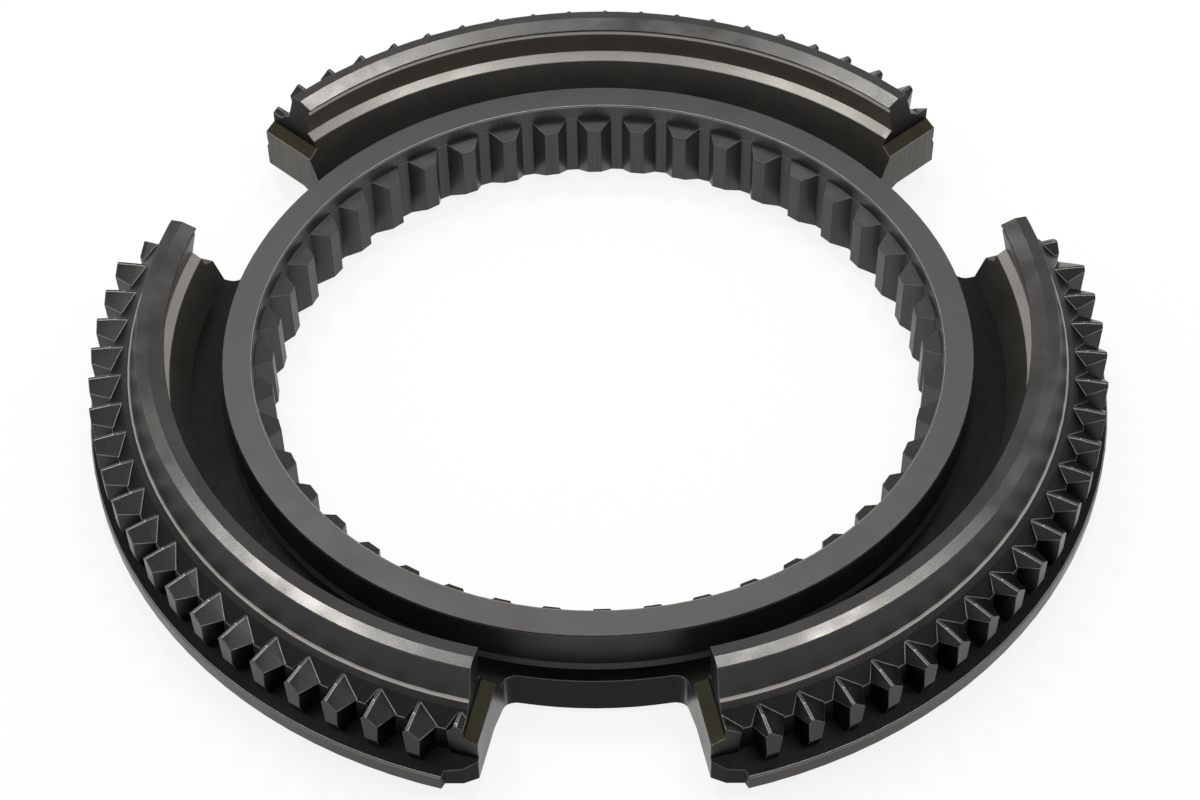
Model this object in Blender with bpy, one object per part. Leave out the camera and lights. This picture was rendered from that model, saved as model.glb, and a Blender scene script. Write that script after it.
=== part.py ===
"""Synchronizer ring of a heavy gearbox: one steel forging, machined all over.

It is turned about +Z and stands on the underside of its hub, at z = 0. Its three slots lie at 45, 165
and 285 degrees from +X. Lengths are in millimetres here and become metres as the points are placed.
Angles are in degrees.
"""

import math

import bmesh
import bpy

MM = 0.001

# Turned hub
hub_height = 21.9
hub_radius = 87.5
hub_edge_break = 0.3
hub_foot_fillet = 0.9
bore_entry_depth = 7.2
bore_entry_break = 0.3

# Internal splines
spline_count = 44
spline_turn = 1.07
spline_height = 4.1
spline_root_clearance = 0.2
spline_root_drop = 3.9
spline_tip_drop = 5.0
spline_tip_bottom = 2.9
spline_chamfer_run = 4.5
spline_gap_at_tip = 7.28
spline_gap_at_root = 2.7

# Trough between the hub and the friction wall
trough_depth = 10.4
trough_width = 8.4
trough_wall_run = 3.7

# Flange under the teeth, up from its underside
flange_bottom = 5.8
flange_rim_thickness = 3.95
flange_rise = 2.7
flange_lip = 1.35
flange_inner_set_out = 14.5
rim_break = 0.25

# Dog teeth round the foot of the wall
tooth_count = 78
tooth_root_rise = 6.9
tooth_ridge_rise = 2.9
tooth_length = 4.5
tooth_ridge_land = 0.6
tooth_ridge_offset = 1.25
tooth_ridge_drop = 0.4
tooth_steep_roof_angle = 54.0
tooth_gentle_roof_at_root = 31.0
tooth_gentle_roof_at_end = 41.0
tooth_width_at_root = 7.0
tooth_width_at_end = 3.7
tooth_end_shift = 0.35
tooth_back_taper = 0.4
tooth_end_foot = 2.0
tooth_end_undercut = 1.8
tooth_overlap_in = 4.0
tooth_overlap_down = 3.5
end_tooth_length = 0.95
end_tooth_undercut = 0.8
end_tooth_reach = 2.7

# Friction wall: outer cone, crown, and inner side with a lip over a sloping ledge
foot_chamfer = 3.3
foot_chamfer_run = 3.4
foot_band_rise = 0.95
foot_band_width = 1.7
cone_rise = 7.9
cone_run = 2.5
crown_outer_rise = 0.23
crown_outer_width = 2.85
crown_inner_drop = 1.18
crown_inner_width = 3.65
crown_overhang = 0.2
groove_drop = 1.25
groove_depth = 1.1
lip_drop = 0.65
lip_reach = 0.4
wall_inner_drop = 6.85
wall_inner_run = 1.6
ledge_drop = 1.45

# Three slots through the wall, the teeth and the flange
slot_count = 3
slot_azimuth = -75.0
slot_half_angle = 12.15
slot_floor_wall = 4.1
slot_corner_radius = 3.0
step_below_tooth_root = 2.35
step_rise = 1.5
step_width = 3.1
wall_end_splay = 11.8

# Flats on the flange beside each slot
flat_set_out = 0.1
flat_from_corner = 3.4
flat_length = 3.9
corner_set_in = 1.4
corner_overlap = 0.16
notch_depth = 1.85
notch_from_flat = 2.2

# How finely curves are divided, and how far cutters reach past the metal
ring_steps = 120
corner_steps = 5
floor_steps = 8
sharp_angle = 25.0
overcut = 6.0
spline_gap_overrun = 0.6
spline_gap_reach_in = 1.5
step_overlap = 0.5


def polar(radius, azimuth, height):
    angle = math.radians(azimuth)
    return (radius * math.cos(angle), radius * math.sin(angle), height)


def beside(azimuth, across, along, height):
    """A point along a radial line and across it, to its left seen from the axis."""
    angle = math.radians(azimuth)
    x = along * math.cos(angle) - across * math.sin(angle)
    y = along * math.sin(angle) + across * math.cos(angle)
    return (x, y, height)


def add_loft(bm, sections, closed=False, folded_caps=False):
    """Join sections of equal length with faces. An open loft gets caps, each one face or folded quads."""
    rows = [[bm.verts.new([value * MM for value in point]) for point in section] for section in sections]
    pairs = list(zip(rows, rows[1:]))
    if closed:
        pairs.append((rows[-1], rows[0]))
    for first, second in pairs:
        for index in range(len(first)):
            after = (index + 1) % len(first)
            bm.faces.new((first[index], first[after], second[after], second[index]))
    if closed:
        return
    for row in (rows[0], rows[-1][::-1]):
        if not folded_caps:
            bm.faces.new(row)
            continue
        for index in range(len(row) // 2 - 1):
            bm.faces.new((row[index], row[index + 1], row[-2 - index], row[-1 - index]))


def make_object(name, bm):
    bmesh.ops.recalc_face_normals(bm, faces=bm.faces[:])
    mesh = bpy.data.meshes.new(name)
    bm.to_mesh(mesh)
    bm.free()
    obj = bpy.data.objects.new(name, mesh)
    bpy.context.scene.collection.objects.link(obj)
    return obj


def make_helper(name, bm):
    helper = make_object(name, bm)
    helper.hide_render = True
    helper.display_type = "WIRE"
    return helper


def combine(target, other, operation):
    step = target.modifiers.new(other.name, "BOOLEAN")
    step.object = other
    step.operation = operation
    step.solver = "EXACT"


# Clear the scene
for obj in list(bpy.data.objects):
    bpy.data.objects.remove(obj)

slot_azimuths = [slot_azimuth + 360 / slot_count * index for index in range(slot_count)]

# Radii, worked out from the hub outwards
bore_entry_radius = hub_radius - bore_entry_depth
spline_tip_radius = bore_entry_radius - spline_height
spline_chamfer_radius = spline_tip_radius + spline_chamfer_run
trough_outer_radius = hub_radius + trough_width
ledge_foot_radius = trough_outer_radius + trough_wall_run
flange_inner_radius = hub_radius + flange_inner_set_out

# Heights, worked out from the flange's underside up to the crown
flange_top_at_rim = flange_bottom + flange_rim_thickness
flange_top_at_root = flange_top_at_rim + flange_rise
tooth_root_top = flange_top_at_root + tooth_root_rise
tooth_ridge_height = tooth_root_top + tooth_ridge_rise
foot_band_height = tooth_root_top + foot_chamfer
cone_foot_height = foot_band_height + foot_band_rise
crown_outer_height = cone_foot_height + cone_rise
crown_ridge_height = crown_outer_height + crown_outer_rise
crown_inner_height = crown_ridge_height - crown_inner_drop
groove_height = crown_inner_height - groove_drop
lip_height = groove_height - lip_drop
ledge_top_height = lip_height - wall_inner_drop
ledge_foot_height = ledge_top_height - ledge_drop
trough_floor = hub_height - trough_depth
spline_root_top = hub_height - spline_root_drop
spline_tip_top = hub_height - spline_tip_drop

# Radii of the friction wall, the teeth and the flange
wall_inner_radius = ledge_foot_radius - crown_overhang
groove_radius = wall_inner_radius + groove_depth
lip_radius = groove_radius - lip_reach
ledge_top_radius = lip_radius + wall_inner_run
crown_ridge_radius = wall_inner_radius + crown_inner_width
crown_outer_radius = crown_ridge_radius + crown_outer_width
cone_foot_radius = crown_outer_radius + cone_run
foot_band_radius = cone_foot_radius + foot_band_width
tooth_root_radius = foot_band_radius + foot_chamfer_run
tooth_outer_radius = tooth_root_radius + tooth_length
end_tooth_radius = tooth_root_radius + end_tooth_length
flange_radius = tooth_outer_radius + flange_lip

# The turned blank: half section as radius and height, from the bore entry over the top and back under
half_section = [
    (bore_entry_radius, hub_height - bore_entry_break),
    (bore_entry_radius + bore_entry_break, hub_height),
    (hub_radius - hub_edge_break, hub_height),
    (hub_radius, hub_height - hub_edge_break),
    (hub_radius, trough_floor + hub_foot_fillet),
    (hub_radius + hub_foot_fillet, trough_floor),
    (trough_outer_radius, trough_floor),
    (ledge_foot_radius, ledge_foot_height),
    (ledge_top_radius, ledge_top_height),
    (lip_radius, lip_height),
    (groove_radius, groove_height),
    (wall_inner_radius, crown_inner_height),
    (crown_ridge_radius, crown_ridge_height),
    (crown_outer_radius, crown_outer_height),
    (cone_foot_radius, cone_foot_height),
    (foot_band_radius, foot_band_height),
    (tooth_root_radius, tooth_root_top),
    (tooth_root_radius, flange_top_at_root),
    (flange_radius - rim_break, flange_top_at_rim + rim_break / 2),
    (flange_radius, flange_top_at_rim - rim_break),
    (flange_radius, flange_bottom),
    (flange_inner_radius, flange_bottom),
    (hub_radius, 0.0),
    (spline_chamfer_radius, 0.0),
    (spline_tip_radius, spline_tip_bottom),
    (spline_tip_radius, spline_tip_top),
    (bore_entry_radius, spline_root_top),
]
bm = bmesh.new()
turns = [360 / ring_steps * index for index in range(ring_steps)]
sections = [[polar(radius, turn, height) for radius, height in half_section] for turn in turns]
add_loft(bm, sections, closed=True)
ring = make_object("synchronizer_ring", bm)


def tooth_section(azimuth, radius, undercut, ridge_height, gentle_angle, low_side, high_side):
    """Gable across a dog tooth: its ridge lies off centre, and its foot is narrower and set back."""
    half_land = tooth_ridge_land / 2
    steep_fall = (low_side - tooth_ridge_offset - half_land) * math.tan(math.radians(tooth_steep_roof_angle))
    gentle_fall = (high_side + tooth_ridge_offset - half_land) * math.tan(math.radians(gentle_angle))
    waist = flange_top_at_root + tooth_end_foot
    bottom = flange_top_at_root - tooth_overlap_down
    gable = [
        (half_land - tooth_ridge_offset, radius, ridge_height),
        (high_side, radius, ridge_height - gentle_fall),
        (high_side - tooth_back_taper, radius, waist),
        (high_side - tooth_back_taper, radius - undercut, bottom),
        (tooth_back_taper - low_side, radius - undercut, bottom),
        (tooth_back_taper - low_side, radius, waist),
        (-low_side, radius, ridge_height - steep_fall),
        (-half_land - tooth_ridge_offset, radius, ridge_height),
    ]
    return [beside(azimuth, across, along, height) for across, along, height in gable]


# Dog teeth: whole ones, and a shorter one at each end of a segment, which the slot later halves
pitch = 360 / tooth_count
teeth_per_segment = tooth_count // slot_count
in_slot = round(slot_half_angle / pitch)
root_half = tooth_width_at_root / 2
end_low_half = tooth_width_at_end / 2 + tooth_end_shift
end_high_half = tooth_width_at_end / 2 - tooth_end_shift
buried_radius = foot_band_radius - tooth_overlap_in
bm = bmesh.new()
for centre in slot_azimuths:
    for index in range(in_slot, teeth_per_segment - in_slot + 1):
        azimuth = centre + pitch * index
        low_reach = end_tooth_reach if index == in_slot else 0
        high_reach = end_tooth_reach if index == teeth_per_segment - in_slot else 0
        at_end = index in (in_slot, teeth_per_segment - in_slot)
        outer_radius = end_tooth_radius if at_end else tooth_outer_radius
        undercut = end_tooth_undercut if at_end else tooth_end_undercut
        share = (outer_radius - tooth_root_radius) / (tooth_outer_radius - tooth_root_radius)
        outer_low = root_half + (end_low_half - root_half) * share + low_reach
        outer_high = root_half + (end_high_half - root_half) * share + high_reach
        outer_ridge = tooth_ridge_height - tooth_ridge_drop * share
        roof_steepening = tooth_gentle_roof_at_end - tooth_gentle_roof_at_root
        outer_roof = tooth_gentle_roof_at_root + roof_steepening * share
        inner_low = root_half + low_reach
        inner_high = root_half + high_reach
        inner = (0, tooth_ridge_height, tooth_gentle_roof_at_root, inner_low, inner_high)
        outer = (undercut, outer_ridge, outer_roof, outer_low, outer_high)
        add_loft(
            bm,
            [
                tooth_section(azimuth, buried_radius, *inner),
                tooth_section(azimuth, tooth_root_radius, *inner),
                tooth_section(azimuth, outer_radius, *outer),
            ],
            folded_caps=True,
        )
teeth = make_helper("dog_tooth_stock", bm)
combine(ring, teeth, "UNION")

# Spline gaps, cut up from below into the bore entry
spline_pitch = 360 / spline_count
spline_root_radius = bore_entry_radius - spline_root_clearance
spline_depth = spline_root_radius - spline_tip_radius
widening = (spline_gap_at_tip - spline_gap_at_root) / spline_depth
bottom_half = spline_gap_at_root / 2
mouth_half = (spline_gap_at_tip + widening * spline_gap_reach_in) / 2
gap_outline = [
    (-bottom_half, spline_root_radius),
    (bottom_half, spline_root_radius),
    (mouth_half, spline_tip_radius - spline_gap_reach_in),
    (-mouth_half, spline_tip_radius - spline_gap_reach_in),
]
bm = bmesh.new()
for index in range(spline_count):
    azimuth = slot_azimuth + spline_turn + spline_pitch * (index + 0.5)
    levels = (-overcut, spline_root_top + spline_gap_overrun)
    sections = [[beside(azimuth, across, along, level) for across, along in gap_outline] for level in levels]
    add_loft(bm, sections)
combine(ring, make_helper("spline_gap_cutter", bm), "DIFFERENCE")

# Slots: radial sides, a floor round the hub and rounded corners
slot_floor_radius = hub_radius + slot_floor_wall
outer_reach = flange_radius + overcut
corner_centre_radius = slot_floor_radius + slot_corner_radius
corner_angle = slot_half_angle - math.degrees(math.asin(slot_corner_radius / corner_centre_radius))
corner_centre = (
    corner_centre_radius * math.sin(math.radians(corner_angle)),
    corner_centre_radius * math.cos(math.radians(corner_angle)),
)
half_outline = []
for step in range(floor_steps // 2 + 1):
    angle = math.radians(corner_angle * step / (floor_steps // 2))
    half_outline.append((slot_floor_radius * math.sin(angle), slot_floor_radius * math.cos(angle)))
start_turn = -90 - corner_angle
turn_range = 90 - (slot_half_angle - corner_angle)
for step in range(1, corner_steps + 1):
    angle = math.radians(start_turn + turn_range * step / corner_steps)
    across = corner_centre[0] + slot_corner_radius * math.cos(angle)
    along = corner_centre[1] + slot_corner_radius * math.sin(angle)
    half_outline.append((across, along))
side_angle = math.radians(slot_half_angle)
half_outline.append((outer_reach * math.sin(side_angle), outer_reach * math.cos(side_angle)))
outline = half_outline + [(-across, along) for across, along in half_outline[:0:-1]]
bm = bmesh.new()
for azimuth in slot_azimuths:
    levels = (-overcut, crown_ridge_height + overcut)
    add_loft(bm, [[beside(azimuth, across, along, level) for across, along in outline] for level in levels])
combine(ring, make_helper("slot_cutter", bm), "DIFFERENCE")

# Ends of the friction wall, set back from the slot sides above a sloping step
step_height_at_slot = tooth_root_top - step_below_tooth_root
step_height_at_wall = step_height_at_slot + step_rise
slot_spread = math.tan(side_angle)
wall_end_across = trough_outer_radius * slot_spread + step_width
bm = bmesh.new()
for azimuth in slot_azimuths:
    sections = []
    for along in (trough_outer_radius - overcut / 2, outer_reach):
        slot_across = along * slot_spread - step_overlap
        wall_across = wall_end_across + (along - trough_outer_radius) * math.tan(math.radians(wall_end_splay))
        slope = step_rise / (wall_across - slot_across)
        low = step_height_at_slot - slope * step_overlap
        top = crown_ridge_height + overcut
        half = [(slot_across, low), (wall_across, step_height_at_wall), (wall_across, top)]
        profile = half + [(-across, height) for across, height in half[::-1]]
        sections.append([beside(azimuth, across, along, height) for across, height in profile])
    add_loft(bm, sections)
combine(ring, make_helper("wall_end_cutter", bm), "DIFFERENCE")

# Flats and corner chamfers on the flange beside the slots
flat_along = tooth_root_radius + flat_set_out
corner_along = flat_along - corner_set_in
corner_across = corner_along * slot_spread - corner_overlap
flat_start_across = corner_across + flat_from_corner
flat_end_across = flat_start_across + flat_length
notch_along = flange_radius - notch_depth
notch_across = flat_end_across + notch_from_flat
bm = bmesh.new()
for azimuth in slot_azimuths:
    half = [
        (corner_across, corner_along),
        (flat_start_across, flat_along),
        (flat_end_across, flat_along),
        (notch_across, notch_along),
        (notch_across, outer_reach),
    ]
    plan = half + [(-across, along) for across, along in half[::-1]]
    levels = (-overcut, tooth_ridge_height + overcut)
    add_loft(bm, [[beside(azimuth, across, along, level) for across, along in plan] for level in levels])
combine(ring, make_helper("flange_flat_cutter", bm), "DIFFERENCE")

# Bare machined steel, smooth on its turned faces
steel = bpy.data.materials.new("machined_steel")
steel.use_nodes = True
shader = steel.node_tree.nodes["Principled BSDF"]
shader.inputs["Base Color"].default_value = (0.35, 0.34, 0.33, 1.0)
shader.inputs["Metallic"].default_value = 1.0
shader.inputs["Roughness"].default_value = 0.4
ring.data.materials.append(steel)
ring.data.shade_smooth()
ring.data.set_sharp_from_angle(angle=math.radians(sharp_angle))
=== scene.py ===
"""Synchronizer ring of a heavy gearbox, on a pale floor under soft studio light.

The ring is one steel forging, hardened and oiled, with turned, ground, milled and broached faces.
"""

import math

import bmesh
import bpy
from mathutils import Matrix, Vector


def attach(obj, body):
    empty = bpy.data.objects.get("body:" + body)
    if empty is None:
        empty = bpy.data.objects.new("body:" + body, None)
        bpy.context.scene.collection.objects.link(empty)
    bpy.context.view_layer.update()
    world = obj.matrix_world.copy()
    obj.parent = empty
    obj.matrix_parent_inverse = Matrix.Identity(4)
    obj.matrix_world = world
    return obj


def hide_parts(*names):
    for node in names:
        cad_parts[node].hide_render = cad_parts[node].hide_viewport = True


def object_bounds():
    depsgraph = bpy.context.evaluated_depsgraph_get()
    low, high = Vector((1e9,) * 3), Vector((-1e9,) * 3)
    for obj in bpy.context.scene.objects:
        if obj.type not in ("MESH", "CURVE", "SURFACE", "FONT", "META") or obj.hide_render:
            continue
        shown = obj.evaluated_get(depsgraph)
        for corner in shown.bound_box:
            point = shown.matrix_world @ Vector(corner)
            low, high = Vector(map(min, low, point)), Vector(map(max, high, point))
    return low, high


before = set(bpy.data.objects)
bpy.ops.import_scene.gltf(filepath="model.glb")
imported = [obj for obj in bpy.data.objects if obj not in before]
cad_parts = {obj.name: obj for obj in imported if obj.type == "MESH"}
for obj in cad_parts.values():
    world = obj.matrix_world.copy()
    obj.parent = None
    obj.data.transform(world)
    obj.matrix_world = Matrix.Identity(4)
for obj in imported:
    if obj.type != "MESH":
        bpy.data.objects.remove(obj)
cad_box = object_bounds()
bpy.ops.object.select_all(action="DESELECT")
bpy.context.scene.view_settings.view_transform = "Standard"


# Camera
# It looks down on the ring at about 48 degrees, a little to the right of one slot.
# Its place, turn and lens were fitted to the circles of the ring in the photograph.
bpy.ops.object.camera_add(location=(0.1180, -0.4085, 0.4702))
camera = bpy.context.object
camera.rotation_euler = [math.radians(turn) for turn in (42.09066, 0.66263, 15.33647)]
camera.data.lens = 79.48
camera.data.sensor_width = 36.0
camera.data.clip_start = 0.01
bpy.context.scene.camera = camera


# Floor and studio light
# A wide sheet of white paper in an even white room, with two small softboxes behind the ring.
# Two wider ones stand in front of it, and a large weak one hangs above.
# The paper and the room are white to the camera and in reflections, and the paper keeps a faint shadow.
MM = 0.001
white_level = 1.0
room_light_level = 0.4
floor_size = 6.0
floor_drop = 0.05
floor_white = "#ffffff"
floor_glow_share = 0.86


def linear(hex_colour):
    """An sRGB hex colour as linear red, green, blue and alpha."""
    values = []
    for start in (1, 3, 5):
        share = int(hex_colour[start:start + 2], 16) / 255
        values.append(share / 12.92 if share <= 0.04045 else ((share + 0.055) / 1.055) ** 2.4)
    return (*values, 1.0)


def add_node(tree, kind, inputs=(), **choices):
    """Add a node with its choices, and give each input a value or a link."""
    made = tree.nodes.new(kind)
    for name, value in choices.items():
        setattr(made, name, value)
    for key, value in dict(inputs).items():
        if isinstance(value, bpy.types.NodeSocket):
            tree.links.new(value, made.inputs[key])
        else:
            made.inputs[key].default_value = value
    return made


def seen_directly(tree):
    """1 for camera, glossy and transmission rays, and 0 for the light that falls on the object."""
    path = add_node(tree, "ShaderNodeLightPath")
    either = add_node(
        tree,
        "ShaderNodeMath",
        {0: path.outputs["Is Camera Ray"], 1: path.outputs["Is Glossy Ray"]},
        operation="MAXIMUM",
    )
    every = add_node(
        tree,
        "ShaderNodeMath",
        {0: either.outputs[0], 1: path.outputs["Is Transmission Ray"]},
        operation="MAXIMUM",
    )
    return every.outputs[0]


bpy.ops.mesh.primitive_plane_add(size=floor_size, location=(0, 0, -floor_drop * MM))
floor = bpy.context.object
floor.name = "paper_floor"
paper = bpy.data.materials.new("matt_white_paper")
paper.use_nodes = True
tree = paper.node_tree
tree.nodes.clear()
diffuse = add_node(tree, "ShaderNodeBsdfDiffuse", {"Color": linear(floor_white)})
glow = add_node(tree, "ShaderNodeEmission", {"Color": linear(floor_white), "Strength": white_level})
glow_share = add_node(
    tree, "ShaderNodeMath", {0: seen_directly(tree), 1: floor_glow_share}, operation="MULTIPLY"
)
mixed = add_node(
    tree, "ShaderNodeMixShader", {0: glow_share.outputs[0], 1: diffuse.outputs[0], 2: glow.outputs[0]}
)
add_node(tree, "ShaderNodeOutputMaterial", {"Surface": mixed.outputs[0]})
floor.data.materials.append(paper)

room = bpy.data.worlds.new("white_room")
bpy.context.scene.world = room
room.use_nodes = True
tree = room.node_tree
tree.nodes.clear()
room_light = add_node(
    tree, "ShaderNodeBackground", {"Color": linear(floor_white), "Strength": room_light_level}
)
room_white = add_node(
    tree, "ShaderNodeBackground", {"Color": linear(floor_white), "Strength": white_level}
)
mixed = add_node(
    tree,
    "ShaderNodeMixShader",
    {0: seen_directly(tree), 1: room_light.outputs[0], 2: room_white.outputs[0]},
)
add_node(tree, "ShaderNodeOutputWorld", {"Surface": mixed.outputs[0]})


def add_softbox(name, azimuth, elevation, distance, size, power):
    """A square lamp that faces the ring, at a compass direction and a height angle in degrees."""
    turn, rise = math.radians(azimuth), math.radians(elevation)
    place = (
        distance * math.cos(rise) * math.cos(turn),
        distance * math.cos(rise) * math.sin(turn),
        distance * math.sin(rise),
    )
    bpy.ops.object.light_add(type="AREA", location=place)
    lamp = bpy.context.object
    lamp.name = name
    lamp.data.size = size
    lamp.data.energy = power
    lamp.rotation_euler = (0, math.pi / 2 - rise, turn)


add_softbox("softbox_back_left", azimuth=136, elevation=60.5, distance=0.95, size=0.16, power=2.0)
add_softbox("softbox_back_right", azimuth=80.5, elevation=64.5, distance=0.95, size=0.15, power=1.7)
add_softbox("softbox_front_left", azimuth=209, elevation=59, distance=0.95, size=0.25, power=1.0)
add_softbox("softbox_front_right", azimuth=345, elevation=63, distance=0.95, size=0.25, power=1.0)
add_softbox("soft_top_light", azimuth=285, elevation=75, distance=1.2, size=0.9, power=0.8)


# Ring forging
# One forging of alloy steel, turned all over, with 44 broached splines, 63 dog teeth and three slots.
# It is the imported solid, cleaned of the triangles in its flat faces.
merge_distance = 0.003
flat_turn = 0.3
bpy.ops.object.select_all(action="DESELECT")
ring = bpy.data.objects.new("ring_forging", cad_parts["synchronizer_ring"].data.copy())
bpy.context.scene.collection.objects.link(ring)
ring.data.materials.clear()
bpy.context.view_layer.objects.active = ring
ring.select_set(True)
bpy.ops.object.mode_set(mode="EDIT")
bpy.ops.mesh.select_all(action="SELECT")
bpy.ops.mesh.customdata_custom_splitnormals_clear()
bpy.ops.mesh.remove_doubles(threshold=merge_distance * MM)
bpy.ops.mesh.dissolve_degenerate(threshold=merge_distance * MM)
bpy.ops.mesh.dissolve_limited(angle_limit=math.radians(flat_turn), delimit=set())
bpy.ops.mesh.select_all(action="DESELECT")
bpy.ops.object.mode_set(mode="OBJECT")


# Finishes of the steel
# Each face keeps the marks of its last machining: turning, broaching, milling or grinding.
# Every pattern reads the ring's own coordinates, and its size is given in millimetres.
# Real marks are about 0.1 mm wide, too fine to show, so they are drawn 0.3 to 0.8 mm wide.
noise_low = 0.3
noise_high = 0.7
noise_detail = 2.0
cloud_size = 9.0
cloud_share = 0.35
roughness_spread = 0.06
bump_strength = 0.5


def pattern(tree, kind, size):
    """Light and dark between 0 and 1: marks of turning, strokes along the axis, or grain."""
    place = add_node(tree, "ShaderNodeTexCoord").outputs["Object"]
    if kind != "grain":
        height = add_node(tree, "ShaderNodeSeparateXYZ", {0: place}).outputs["Z"]
        place = add_node(
            tree, "ShaderNodeVectorMath", {0: place, 1: (1, 1, 0)}, operation="MULTIPLY"
        ).outputs["Vector"]
    if kind == "turned":
        radius = add_node(tree, "ShaderNodeVectorMath", {0: place}, operation="LENGTH").outputs["Value"]
        place = add_node(tree, "ShaderNodeCombineXYZ", {"X": radius, "Y": height}).outputs["Vector"]
    noise = add_node(
        tree, "ShaderNodeTexNoise", {"Vector": place, "Scale": 1 / (size * MM), "Detail": noise_detail}
    )
    spread = add_node(
        tree,
        "ShaderNodeMapRange",
        {"Value": noise.outputs["Fac"], "From Min": noise_low, "From Max": noise_high},
    )
    return spread.outputs["Result"]


def make_steel(name, dark, light, roughness, marks, mark_size, mark_depth, metallic=1.0):
    """Steel between two tones, with marks of a size and depth in millimetres over soft clouds."""
    steel = bpy.data.materials.new(name)
    steel.use_nodes = True
    tree = steel.node_tree
    shader = tree.nodes["Principled BSDF"]
    lines = pattern(tree, marks, mark_size)
    clouds = pattern(tree, "grain", cloud_size)
    # A mix node takes numbers at its inputs 2 and 3, and colours at 6 and 7.
    tone = add_node(tree, "ShaderNodeMix", {0: cloud_share, 2: lines, 3: clouds}, data_type="FLOAT")
    colour = add_node(
        tree, "ShaderNodeMix", {0: tone.outputs[0], 6: linear(dark), 7: linear(light)}, data_type="RGBA"
    )
    gloss = add_node(
        tree,
        "ShaderNodeMapRange",
        {"Value": clouds, "To Min": roughness - roughness_spread, "To Max": roughness + roughness_spread},
    )
    bump = add_node(
        tree,
        "ShaderNodeBump",
        {"Strength": bump_strength, "Distance": mark_depth * MM, "Height": lines},
    )
    shader.inputs["Metallic"].default_value = metallic
    tree.links.new(colour.outputs[2], shader.inputs["Base Color"])
    tree.links.new(gloss.outputs[0], shader.inputs["Roughness"])
    tree.links.new(bump.outputs[0], shader.inputs["Normal"])
    ring.data.materials.append(steel)


# A large flat face can have its centre on the axis, so no face's reach is taken as nothing.
least_reach = 0.001
slot_azimuth = -75.0
slot_spacing = 120.0
lowest = -math.inf
highest = math.inf


def measure(face):
    """Where a face lies, in millimetres and in degrees from the nearest slot, and how it leans."""
    x, y, height = (value / MM for value in face.center)
    corners = [ring.data.vertices[corner].co for corner in face.vertices]
    radius = sum(math.hypot(corner.x, corner.y) for corner in corners) / len(corners) / MM
    outward = (face.normal.x * x + face.normal.y * y) / math.hypot(x, y, least_reach)
    up = face.normal.z
    from_slot = (math.degrees(math.atan2(y, x)) - slot_azimuth + slot_spacing / 2) % slot_spacing
    return {
        "radius": radius,
        "height": height,
        "outward": outward,
        "up": up,
        "sideways": math.sqrt(max(0.0, 1 - outward * outward - up * up)),
        "from_slot": abs(from_slot - slot_spacing / 2),
    }


measures = [measure(face) for face in ring.data.polygons]


def give_finish(**ranges):
    """Give the newest finish to every face whose measures lie inside all the ranges."""
    index = len(ring.data.materials) - 1
    for face, measured in zip(ring.data.polygons, measures):
        if all(low < measured[name] < high for name, (low, high) in ranges.items()):
            face.material_index = index


# A film of oil on the hardened steel turns it nearly black. Faces with no finish of their own keep it.
make_steel(
    "hardened_oiled_steel", "#131312", "#1c1b1a",
    roughness=0.45, marks="grain", mark_size=0.8, mark_depth=0.01,
)
give_finish()

# Dried oil on the trough's outer side takes the shine off it and leaves it a dull brown.
make_steel(
    "oiled_trough_sides", "#2f2d29", "#3a3832",
    roughness=0.5, marks="drawn", mark_size=0.8, mark_depth=0.006, metallic=0.1,
)
give_finish(radius=(87, 99.6), height=(lowest, 21.5), outward=(lowest, -0.5))

# The hub's outer side has the same dried oil, and is painted darker: painted shade from the trough around
# it.
make_steel(
    "shade_painted_hub_wall", "#1b1a18", "#232220",
    roughness=0.5, marks="drawn", mark_size=0.8, mark_depth=0.006, metallic=0.2,
)
give_finish(radius=(87, 88.6), height=(lowest, 21.7), outward=(0.5, highest))

# The fine turning of the hub's flat top spreads the light, so it is an even grey.
make_steel(
    "turned_hub_face", "#3c3b3a", "#484745",
    roughness=0.48, marks="turned", mark_size=0.3, mark_depth=0.004, metallic=0.5,
)
give_finish(radius=(lowest, 87.6), height=(21.8, highest))

# The broach leaves fine strokes along the axis, which give the splines a satin look.
make_steel(
    "broached_splines", "#3e3d3b", "#4f4d4b",
    roughness=0.4, marks="drawn", mark_size=0.45, mark_depth=0.006, metallic=0.7,
)
give_finish(radius=(lowest, 80.6), height=(lowest, 21.7))

# The chamfers on top of the splines hold oil, so they look darker than the hub's top.
make_steel(
    "oiled_spline_chamfers", "#2b2a28", "#383735",
    roughness=0.42, marks="grain", mark_size=0.5, mark_depth=0.004,
)
give_finish(radius=(lowest, 82), height=(15, 21.8), up=(0.3, highest))

# The wall's inner face has oil over bright turning, and its warm, pale grey is a painted sheen that
# stands in for the light it reflects.
make_steel(
    "wall_face_painted_sheen", "#5f5a50", "#6d675d",
    roughness=0.4, marks="turned", mark_size=0.5, mark_depth=0.004, metallic=0.15,
)
give_finish(radius=(99.5, 101.8), height=(21.9, 28.6))

# The crown is the smoothest face. It nearly mirrors the lamps, with a fine grain in the bright parts.
make_steel(
    "turned_crown", "#3a3937", "#4a4947",
    roughness=0.25, marks="grain", mark_size=0.28, mark_depth=0.003,
)
give_finish(radius=(99.5, 105.8), height=(30.6, highest))

# The sloping ledge inside the wall is bare steel, and its pale grey is partly a painted reflection of the
# lamps, which draws a bright band.
make_steel(
    "ledge_with_painted_reflection", "#7b7874", "#8e8b86",
    roughness=0.3, marks="grain", mark_size=0.28, mark_depth=0.003,
)
give_finish(radius=(99, highest), height=(20.4, 21.7), outward=(lowest, -0.2))

# The lip above the wall's inner face is painted pale: a painted highlight that draws a thin bright line.
make_steel(
    "painted_highlight_steel", "#96938d", "#aaa7a1",
    roughness=0.38, marks="grain", mark_size=0.3, mark_depth=0.003, metallic=0.5,
)
give_finish(radius=(99, highest), height=(28.7, 29.2), outward=(lowest, -0.2))
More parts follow.
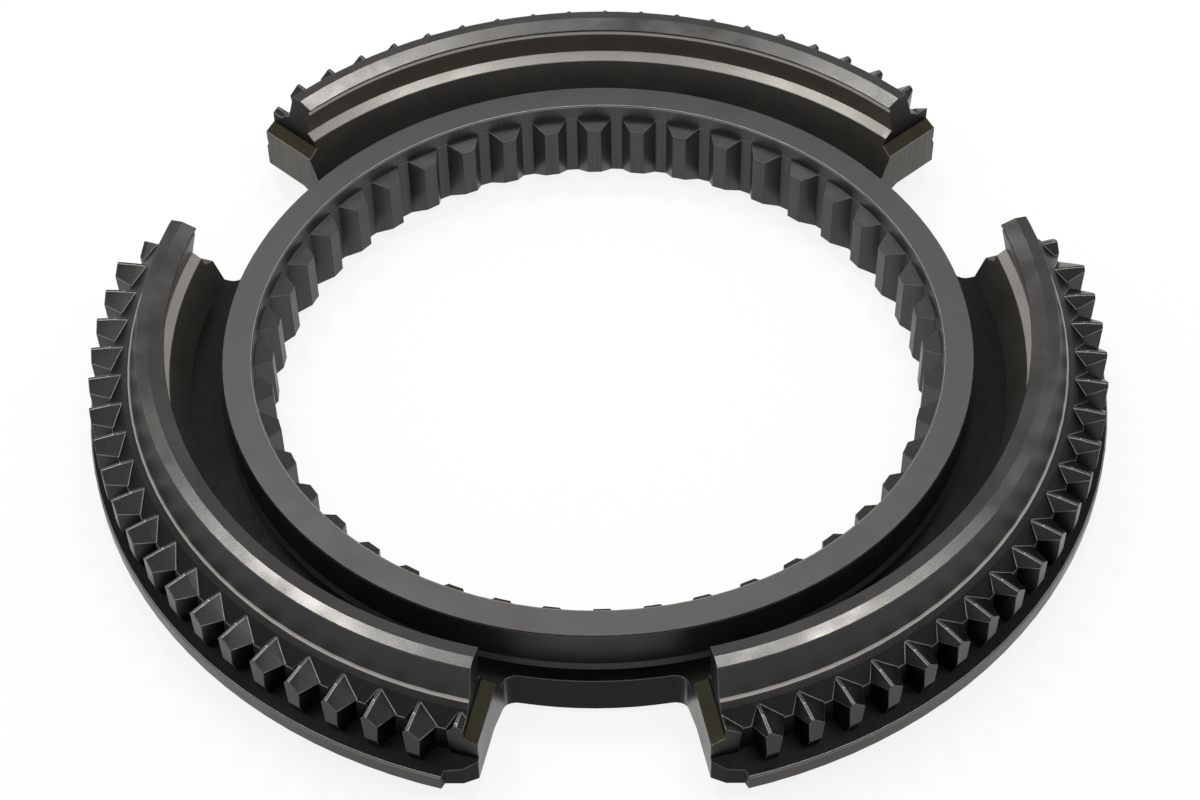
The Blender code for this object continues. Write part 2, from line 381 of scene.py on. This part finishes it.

# The groove under the crown is full of oil and is painted nearly black as painted shade, the darkest line
# of the ring.
make_steel(
    "groove_painted_shade", "#0d0d0c", "#151413",
    roughness=0.5, marks="grain", mark_size=0.5, mark_depth=0.004,
)
give_finish(radius=(lowest, 101), height=(29.3, 30.5), up=(lowest, -0.2))

# Grinding leaves the outer cone with an even, dark sheen.
make_steel(
    "ground_friction_cone", "#2b2a2c", "#363436",
    roughness=0.42, marks="turned", mark_size=0.5, mark_depth=0.003, metallic=0.6,
)
give_finish(radius=(104, highest), height=(24, highest), outward=(0.8, highest))

# The narrow band at the cone's foot is a little darker and glossier than the cone.
make_steel(
    "turned_foot_band", "#292826", "#353432",
    roughness=0.34, marks="grain", mark_size=0.35, mark_depth=0.004,
)
give_finish(radius=(108.4, 110.1), height=(22.7, 23.6))

# The gaps between the dog teeth are a darker grey than the teeth, so the teeth stand out from them.
make_steel(
    "dark_tooth_gaps", "#1f1f1d", "#282825",
    roughness=0.36, marks="grain", mark_size=0.5, mark_depth=0.004,
)
give_finish(radius=(110.2, 113.6), height=(19, 22.6))

# Milling leaves the sides and roofs of the dog teeth smooth, and each roof catches its own light.
make_steel(
    "milled_dog_teeth", "#2a2b29", "#363634",
    roughness=0.32, marks="grain", mark_size=0.5, mark_depth=0.004,
)
give_finish(
    radius=(110.2, highest), height=(12.6, 22.3), sideways=(0.2, highest), from_slot=(12.6, highest)
)
give_finish(radius=(113.6, highest), height=(12.6, 22.3), from_slot=(12.6, highest))

# The turned rim of the flange is a shade paler than its top.
make_steel(
    "turned_rim", "#3c3a39", "#504e4c",
    roughness=0.34, marks="grain", mark_size=0.4, mark_depth=0.005,
)
give_finish(radius=(119, highest), outward=(0.6, highest))

# Brushing leaves strokes along the axis on the sides of the slots, and makes them paler.
make_steel(
    "brushed_slot_sides", "#43413e", "#5f5c57",
    roughness=0.36, marks="drawn", mark_size=0.6, mark_depth=0.006,
)
give_finish(radius=(92, highest), outward=(-0.5, 0.5), up=(-0.5, 0.5), from_slot=(lowest, 12.5))

# Heat has turned the steps beside the slots olive.
make_steel(
    "tempered_ledges", "#2c2b22", "#37352a",
    roughness=0.32, marks="grain", mark_size=0.6, mark_depth=0.006,
)
give_finish(radius=(92, highest), height=(16.9, 18.6), up=(0.5, highest), from_slot=(lowest, 15))


# Broken edges
# Sharp corners are slightly round. Those that face up or lie on the cone are painted bright, a painted
# highlight, and the others are painted dull, its shaded copy.
# The cone's foot is a wider painted highlight, and the roofs of the dog teeth have painted highlight
# lines at their feet.
# The crown's inner edge takes the groove's painted shade, and the hub's rim keeps the hub's finish.
edge_break = 0.12
groove_break = 0.25
foot_break = 0.45
bevel_steps = 2
sharp_turn = 28.0
smooth_turn = 17.0
facing_up = 0.3
hub_rim_start = 82.0
hub_rim_end = 92.0

# Corners that face up or lie on the cone, and the feet of the tooth roofs, are painted pale: a painted
# highlight in thin light lines.
make_steel(
    "highlight_painted_edges", "#666562", "#868581",
    roughness=0.4, marks="grain", mark_size=0.4, mark_depth=0.0,
)

# The upright corners are the shaded copy of the same edges, painted nearly as dark as the faces.
make_steel(
    "shaded_upright_edges", "#3b3b39", "#4b4b49",
    roughness=0.4, marks="grain", mark_size=0.4, mark_depth=0.0,
)

finish = {steel.name: index for index, steel in enumerate(ring.data.materials)}


def break_edges(new_finish, width, fits):
    """Bevel the edges that fit, by how they turn, the finishes beside them and how far up they face."""
    bpy.ops.object.mode_set(mode="EDIT")
    bpy.ops.mesh.select_all(action="DESELECT")
    mesh = bmesh.from_edit_mesh(ring.data)
    for edge in mesh.edges:
        turn = math.degrees(edge.calc_face_angle_signed())
        beside = {ring.data.materials[face.material_index].name for face in edge.link_faces}
        lean = max(face.normal.z for face in edge.link_faces)
        edge.select_set(fits(turn, beside, lean))
    bmesh.update_edit_mesh(ring.data)
    bpy.ops.mesh.bevel(
        offset=width * MM,
        segments=bevel_steps,
        affect="EDGES",
        clamp_overlap=False,
        material=finish[new_finish],
    )
    bpy.ops.mesh.select_all(action="DESELECT")
    bpy.ops.object.mode_set(mode="OBJECT")


# The cone's foot is rounded and painted pale, a painted highlight along it.
break_edges(
    "painted_highlight_steel",
    foot_break,
    lambda turn, beside, lean: beside == {"turned_foot_band", "ground_friction_cone"},
)
# The crown's inner edge is rounded and takes the groove's painted shade.
break_edges(
    "groove_painted_shade",
    groove_break,
    lambda turn, beside, lean: beside == {"turned_crown", "groove_painted_shade"},
)
# The tooth roofs' feet and the corners that face up or lie on the cone get the painted highlight.
break_edges(
    "highlight_painted_edges",
    edge_break,
    lambda turn, beside, lean: beside == {"milled_dog_teeth", "dark_tooth_gaps"}
    or (turn > sharp_turn and (lean > facing_up or "ground_friction_cone" in beside)),
)
# The other sharp corners get its darker, shaded copy.
break_edges("shaded_upright_edges", edge_break, lambda turn, beside, lean: turn > sharp_turn)

# No broken corner stands above the top of the solid.
crown_height = cad_box[1][2]
for corner in ring.data.vertices:
    corner.co.z = min(corner.co.z, crown_height)

for face in ring.data.polygons:
    reach = math.hypot(face.center.x, face.center.y)
    on_hub_rim = hub_rim_start * MM < reach < hub_rim_end * MM
    if on_hub_rim and face.material_index == finish["highlight_painted_edges"]:
        face.material_index = finish["turned_hub_face"]

bpy.ops.object.shade_smooth_by_angle(angle=math.radians(smooth_turn))
weigh = ring.modifiers.new("even_shading", "WEIGHTED_NORMAL")
weigh.keep_sharp = True
bpy.ops.object.modifier_apply(modifier=weigh.name)
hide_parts("synchronizer_ring")
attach(ring, "root")
